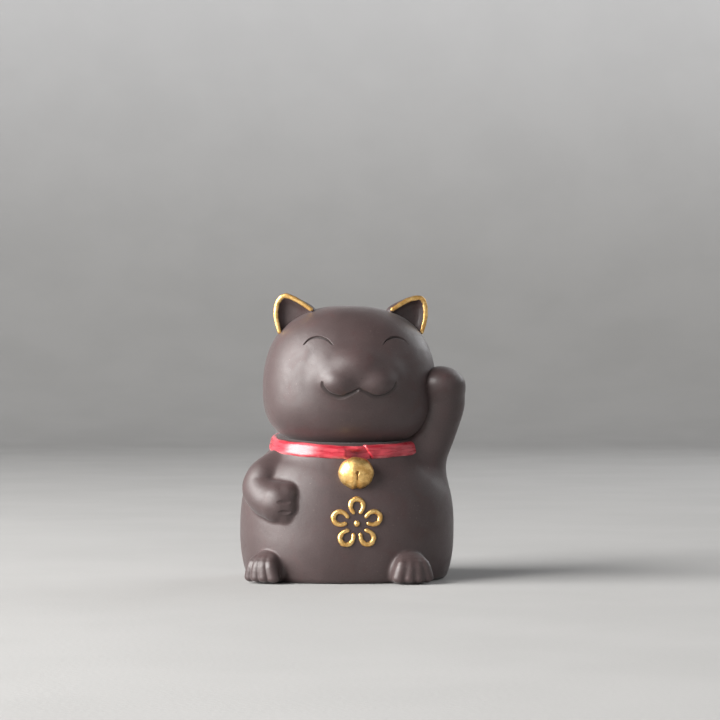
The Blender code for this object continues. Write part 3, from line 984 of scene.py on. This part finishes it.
def build_fold(red):
    """The fold over the bell: wider and lower in its middle, with a thick hem and painted shade below it."""

    def dip(azimuth):
        return np.clip(1 - np.abs(azimuth - 0.03) / 0.19, 0, 1)

    def half(azimuth):
        return 1.60 + 0.40 * dip(azimuth)

    def thick(azimuth, share):
        hem = 0.40 * np.exp(-(((share - 0.70) / 0.20) ** 2))
        return 0.44 + hem * dip(azimuth) - 0.34 * dip(azimuth) * np.clip((0.5 - share) / 0.3, 0, 1)

    def lift(azimuth):
        return -0.40 * dip(azimuth)

    # Painted shade: dark paint in the fold's lower middle, below the hem, where shade falls.
    def painted_shade(azimuth, share):
        return dip(azimuth) ** 0.5 * np.clip((0.6 - share) / 0.4, 0, 1)

    build_band("bell_loop", np.linspace(FOLD_FROM, FOLD_TO, 46), red, half, thick, lift, painted_shade=painted_shade)


BELL_LOW, BELL_HIGH = low_high("bell")
BELL_RADII = (BELL_HIGH - BELL_LOW) / 2 * (1, 0, 1)
BELL_RADII[1] = BELL_RADII[2] * 0.80
BELL_CENTRE = np.array((centre_of("bell")[0], BELL_LOW[1] + BELL_RADII[1], centre_of("bell")[2]))
HOLE_RADIUS, HOLE_UP, HOLE_DEPTH = 0.42, 0.15, 0.6
SLOT_HALF, SLOT_HALF_LENGTH, SLOT_DEPTH = 0.10, 0.75, 0.32
LIP_ASIDE, LIP_WIDTH, LIP_HEIGHT, LIP_FADE, GROOVE_WIDTH = 1.1, 0.8, 0.20, 2.0, 0.5


def bell_whole(p):
    """The uncut bell, with a soft lip on each side of a groove down its lower front."""
    form = blob(p, BELL_CENTRE, BELL_RADII) + unevenness(p, size=3.1, depth=0.10)
    beside = np.abs(p[:, 0] - BELL_CENTRE[0])
    below = np.clip((BELL_CENTRE[2] - p[:, 2]) / LIP_FADE, 0, 1)
    lips = np.exp(-(((beside - LIP_ASIDE) / LIP_WIDTH) ** 2)) - np.exp(-((beside / GROOVE_WIDTH) ** 2))
    return form - LIP_HEIGHT * below * lips


def bell_form(p):
    """The bell with a round hole and, below it, a slot."""
    beside, _, up = (p - BELL_CENTRE).T
    slot = np.maximum(np.abs(beside) - SLOT_HALF, np.abs(up + SLOT_HALF_LENGTH) - SLOT_HALF_LENGTH)
    hole = np.hypot(beside, up - HOLE_UP) - HOLE_RADIUS
    shallow = -(bell_whole(p) + np.where(hole < 0.3, HOLE_DEPTH, SLOT_DEPTH))
    cut = np.maximum(np.maximum(smooth_min(slot, hole, blend=0.25), shallow), p[:, 1] - BELL_CENTRE[1])
    return smooth_max(bell_whole(p), -cut, blend=0.25)


def build_bell(gold):
    """The bell on the chest, with painted shade in its holes, and darker round its top and foot."""
    points, faces = net_of(bell_form, BELL_LOW - 1, BELL_HIGH + 1, step=0.14)
    normals = unit(slope_of(bell_form, points, reach=0.03))
    # Painted shade in the hole and the slot: how far below the uncut bell each point lies.
    sunk = np.clip(-bell_whole(points) / 0.5, 0, 1)
    rising = (points[:, 2] - BELL_CENTRE[2]) / BELL_RADII[2]
    # Darker round the bell's top and foot.
    tint_share = 0.55 * np.clip((np.abs(rising - 0.1) - 0.62) / 0.3, 0, 1)
    make_piece("bell", points, faces, "gold_paint", gold, normals, painted_shade_and_thin_paint=np.maximum(sunk, tint_share))


# ---- materials


class Finish:
    """A material and the nodes that feed its Principled shader."""

    def __init__(self, name):
        self.material = bpy.data.materials.new(name)
        self.material.use_nodes = True
        self.tree = self.material.node_tree
        self.shader = self.tree.nodes["Principled BSDF"]
        self.place = self.add("ShaderNodeTexCoord").outputs["Object"]

    def add(self, kind, **settings):
        """A new node with these settings."""
        node = self.tree.nodes.new(kind)
        for key, value in settings.items():
            setattr(node, key, value)
        return node

    def feed(self, socket, value):
        """Sets a socket to a number or colour, or links an output to it."""
        if isinstance(value, bpy.types.NodeSocket):
            self.tree.links.new(value, socket)
        else:
            socket.default_value = value

    def noise(self, size, detail=4.0, roughness=0.55, stretch=None, source=None, distortion=0.0):
        """Noise whose features are about this many millimetres across."""
        mapping = self.add("ShaderNodeMapping")
        self.feed(mapping.inputs["Vector"], source or self.place)
        scale = 1 if source else 1 / MM
        mapping.inputs["Scale"].default_value = [scale / size / s for s in (stretch or (1, 1, 1))]
        noise = self.add("ShaderNodeTexNoise")
        self.feed(noise.inputs["Vector"], mapping.outputs["Vector"])
        settings = {"Scale": 1, "Detail": detail, "Roughness": roughness, "Distortion": distortion}
        for key, number in settings.items():
            noise.inputs[key].default_value = number
        return noise.outputs["Fac"]

    def between(self, value, low, high, to_low=0.0, to_high=1.0):
        """A value's range stretched to another, smoothly and within its ends."""
        node = self.add("ShaderNodeMapRange", interpolation_type="SMOOTHSTEP")
        self.feed(node.inputs["Value"], value)
        for key, number in (("From Min", low), ("From Max", high), ("To Min", to_low), ("To Max", to_high)):
            node.inputs[key].default_value = number
        return node.outputs["Result"]

    def maths(self, operation, a, b):
        """One of Blender's Math operations on two numbers or outputs."""
        node = self.add("ShaderNodeMath", operation=operation)
        self.feed(node.inputs[0], a)
        self.feed(node.inputs[1], b)
        return node.outputs["Value"]

    def mix(self, share, a, b):
        """A colour this share of the way from one to another."""
        node = self.add("ShaderNodeMix", data_type="RGBA")
        self.feed(node.inputs["Factor"], share)
        self.feed(node.inputs[6], (*a, 1) if isinstance(a, tuple) else a)
        self.feed(node.inputs[7], (*b, 1) if isinstance(b, tuple) else b)
        return node.outputs[2]

    def attribute(self, name):
        """A number that add_attribute gave to each point."""
        return self.add("ShaderNodeAttribute", attribute_name=name).outputs["Fac"]

    def bump(self, height, depth, onto=None):
        """A bump this many millimetres deep."""
        node = self.add("ShaderNodeBump")
        node.inputs["Strength"].default_value = 1
        node.inputs["Distance"].default_value = depth * MM
        self.feed(node.inputs["Height"], height)
        if onto:
            self.feed(node.inputs["Normal"], onto)
        return node.outputs["Normal"]

    def finish(self, colour, roughness, normal, **constants):
        """Feeds the shader and returns the material. Constants are its other sockets, such as ior."""
        self.feed(self.shader.inputs["Base Color"], colour)
        self.feed(self.shader.inputs["Roughness"], roughness)
        self.feed(self.shader.inputs["Normal"], normal)
        for name, value in constants.items():
            self.shader.inputs[name.replace("_", " ").title().replace("Ior", "IOR")].default_value = value
        return self.material


def clay_finish():
    """Fine purple-brown clay, rubbed to a soft sheen: slow mottling, reddish patches, fine grain, and
    painted shade in the face's engraved lines.
    """
    f = Finish("purple_clay")
    cloud = f.noise(16, detail=3)
    patch = f.noise(5, detail=5, distortion=0.6)
    grain = f.noise(0.35, detail=3, roughness=0.7)
    speck = f.noise(0.42, detail=1)
    spread = f.noise(9, detail=2)
    colour = f.mix(f.between(cloud, 0.35, 0.65), (0.044, 0.027, 0.027), (0.057, 0.037, 0.037))
    colour = f.mix(f.between(patch, 0.50, 0.75, 0, 0.6), colour, (0.054, 0.021, 0.021))
    colour = f.mix(f.between(grain, 0.30, 0.70, 0, 0.28), colour, (0.084, 0.058, 0.055))
    pale = f.maths("MULTIPLY", f.between(speck, 0.68, 0.76), f.between(spread, 0.45, 0.65, 0, 0.45))
    colour = f.mix(pale, colour, (0.180, 0.135, 0.124))
    dark = f.maths("MULTIPLY", f.between(speck, 0.34, 0.26), f.between(spread, 0.60, 0.35, 0.1, 0.7))
    colour = f.mix(dark, colour, (0.022, 0.011, 0.010))
    # Painted shade: the engraved lines of the face darkened by how deep they go.
    colour = f.mix(f.maths("MULTIPLY", f.attribute("groove"), 0.80), colour, (0.014, 0.008, 0.007))
    roughness = f.between(patch, 0.30, 0.70, 0.40, 0.52)
    roughness = f.maths("ADD", roughness, f.maths("MULTIPLY", grain, 0.06))
    normal = f.bump(cloud, 0.25)
    normal = f.bump(patch, 0.05, normal)
    normal = f.bump(grain, 0.030, normal)
    return f.finish(colour, roughness, normal, sheen_weight=0.10, sheen_roughness=0.4, ior=1.55)


def gold_finish():
    """Gold paint: bright where it lies thick, brown at its thin edges and round the bell's top and foot,
    with painted shade in the bell's holes and where each stroke meets the surface.
    """
    f = Finish("gold_brushwork")
    blot = f.noise(1.6, detail=4, roughness=0.6, distortion=0.4)
    grain = f.noise(0.22, detail=3, roughness=0.7)
    colour = f.mix(f.between(blot, 0.35, 0.65), (0.66, 0.37, 0.11), (0.98, 0.66, 0.26))
    colour = f.mix(f.between(grain, 0.45, 0.72, 0, 0.35), colour, (0.40, 0.19, 0.05))
    # Painted shade in the bell's holes and where strokes meet the surface, thin paint at their edges, and
    # the bell's darker top and foot: brown, and less metal.
    thin_paint_and_shade = f.maths("MULTIPLY", f.attribute("groove"), f.between(blot, 0.25, 0.60, 1.0, 0.45))
    colour = f.mix(thin_paint_and_shade, colour, (0.13, 0.055, 0.020))
    roughness = f.between(blot, 0.30, 0.70, 0.44, 0.30)
    normal = f.bump(blot, 0.14)
    normal = f.bump(grain, 0.030, normal)
    f.feed(f.shader.inputs["Metallic"], f.between(thin_paint_and_shade, 0.2, 0.9, 0.85, 0.25))
    return f.finish(colour, roughness, normal)


def red_finish():
    """Glossy red paint, brushed along the strap: streaks, pinkish thin edges, deep colour where it pools,
    and painted shade in the fold below its hem.
    """
    f = Finish("red_brushwork")
    flow = f.add("ShaderNodeUVMap", uv_map="flow").outputs["UV"]
    streak = f.noise(1, detail=3, roughness=0.5, stretch=(5.0, 0.42, 1), source=flow)
    pool = f.noise(1, detail=2, stretch=(3.5, 1.6, 1), source=flow)
    grain = f.noise(0.30, detail=2)
    colour = f.mix(f.between(streak, 0.38, 0.66), (0.360, 0.016, 0.030), (0.560, 0.050, 0.070))
    colour = f.mix(f.between(pool, 0.50, 0.72, 0, 0.6), colour, (0.230, 0.006, 0.016))
    # Painted shade: near-black red in the fold below its hem.
    colour = f.mix(f.maths("MULTIPLY", f.attribute("painted_shade"), 0.88), colour, (0.055, 0.001, 0.005))
    # Paler, pinkish paint towards the band's edges, patchy along it.
    tint_share = f.maths("MULTIPLY", f.attribute("groove"), f.between(pool, 0.55, 0.40, 0.15, 0.8))
    colour = f.mix(tint_share, colour, (0.640, 0.200, 0.215))
    roughness = f.between(streak, 0.30, 0.70, 0.24, 0.36)
    normal = f.bump(streak, 0.10)
    normal = f.bump(grain, 0.012, normal)
    return f.finish(colour, roughness, normal, coat_weight=0.4, coat_roughness=0.20, ior=1.5)


FLOOR_COLOURS = (0.385, 0.382, 0.377), (0.405, 0.402, 0.397)
GLOW_COLOUR, WALL_GLOW = (0.96, 0.97, 1.0, 1), 0.30
GLOW_FROM, GLOW_FULL = 0.05, 0.50  # heights in metres


def floor_finish():
    """Pale paper that glows faintly from the foot of the wall up, so that the wall is pale from every
    side and not only where the key light reaches it."""
    f = Finish("pale_paper")
    place = f.add("ShaderNodeSeparateXYZ")
    f.feed(place.inputs["Vector"], f.place)
    glow = f.between(place.outputs["Z"], GLOW_FROM, GLOW_FULL, 0, WALL_GLOW)
    f.feed(f.shader.inputs["Emission Strength"], glow)
    f.shader.inputs["Emission Color"].default_value = GLOW_COLOUR
    cloud = f.noise(60, detail=3)
    grain = f.noise(1.2, detail=3)
    colour = f.mix(f.between(cloud, 0.3, 0.7), *FLOOR_COLOURS)
    roughness = f.between(grain, 0.3, 0.7, 0.88, 0.98)
    return f.finish(colour, roughness, f.bump(grain, 0.05), specular_ior_level=0.12)


# ---- stage

FLOOR_RADIUS, COVE_RADIUS, WALL_HEIGHT, FLOOR_SIDES = 1000.0, 500.0, 1300.0, 96
CAMERA_TURN, CAMERA_AWAY, CAMERA_HEIGHT, CAMERA_ASIDE = math.radians(-6.5), 650.0, 55.06, 3.3
LENS = 128.15
LIGHT_TARGET = (0, 0, 35)  # the middle of the figure
ROOM_COLOUR, ROOM_STRENGTH = (0.86, 0.90, 0.95, 1), 0.05


def build_stage():
    """A pale floor that curves up into a wall all round."""
    profile = [(FLOOR_RADIUS, 0.0)]
    for a in np.linspace(0, math.pi / 2, 13)[1:]:
        profile.append((FLOOR_RADIUS + COVE_RADIUS * math.sin(a), COVE_RADIUS * (1 - math.cos(a))))
    profile.append((FLOOR_RADIUS + COVE_RADIUS, WALL_HEIGHT))
    angles = np.arange(FLOOR_SIDES) * 2 * math.pi / FLOOR_SIDES
    points = [(0, 0, 0)]
    for radius, height in profile:
        points += [(radius * math.cos(a), radius * math.sin(a), height) for a in angles]
    rings = np.arange(1, len(points)).reshape(-1, FLOOR_SIDES)
    mesh = bpy.data.meshes.new("floor")
    mesh.from_pydata((np.array(points) * MM).tolist(), [], disc_faces(rings, 0))
    mesh.shade_smooth()
    mesh.materials.append(floor_finish())
    floor = bpy.data.objects.new("floor", mesh)
    bpy.context.scene.collection.objects.link(floor)


def build_camera():
    """The camera at the viewing angle: nearly level, a little towards the cat's right."""
    camera = bpy.data.objects.new("camera", bpy.data.cameras.new("camera"))
    camera.data.lens = LENS
    camera.data.clip_start, camera.data.clip_end = 0.01, 20
    cos, sin = math.cos(CAMERA_TURN), math.sin(CAMERA_TURN)
    x = CAMERA_AWAY * sin + CAMERA_ASIDE * cos
    y = CAMERA_ASIDE * sin - CAMERA_AWAY * cos
    camera.location = (AXIS + (x, y, CAMERA_HEIGHT)) * MM
    camera.rotation_euler = (math.pi / 2, 0, CAMERA_TURN)
    bpy.context.scene.collection.objects.link(camera)
    bpy.context.scene.camera = camera


def add_light(name, place, size, power, colour):
    """A square soft light that faces the figure."""
    light = bpy.data.lights.new(name, "AREA")
    light.shape = "SQUARE"
    light.size = size * MM
    light.energy = power
    light.color = colour
    obj = bpy.data.objects.new(name, light)
    obj.location = Vector(place) * MM
    aim = Vector(LIGHT_TARGET) * MM - obj.location
    obj.rotation_euler = aim.to_track_quat("-Z", "Y").to_euler()
    obj.visible_camera = False
    bpy.context.scene.collection.objects.link(obj)


def build_lights():
    """A broad key light from the viewer's left, a faint rim light from behind, and a dim room."""
    add_light("key", place=(-850, -270, 390), size=830, power=34.0, colour=(1.0, 0.985, 0.965))
    add_light("rim", place=(620, 520, 480), size=500, power=2.5, colour=(0.97, 0.98, 1.0))
    world = bpy.data.worlds.new("room")
    world.use_nodes = True
    background = world.node_tree.nodes["Background"]
    background.inputs["Color"].default_value = ROOM_COLOUR
    background.inputs["Strength"].default_value = ROOM_STRENGTH
    bpy.context.scene.world = world
    bpy.context.scene.view_settings.view_transform = "Standard"


# ---- the figurine

clay, gold, red = clay_finish(), gold_finish(), red_finish()
build_figure(clay)
build_base(clay)
build_head(clay)
build_ear(1, "left", clay, gold)
build_ear(-1, "right", clay, gold)
build_long_strap(red)
build_short_strap(red)
build_fold(red)
build_bell(gold)
build_emblem(gold)
build_stage()
build_camera()
build_lights()
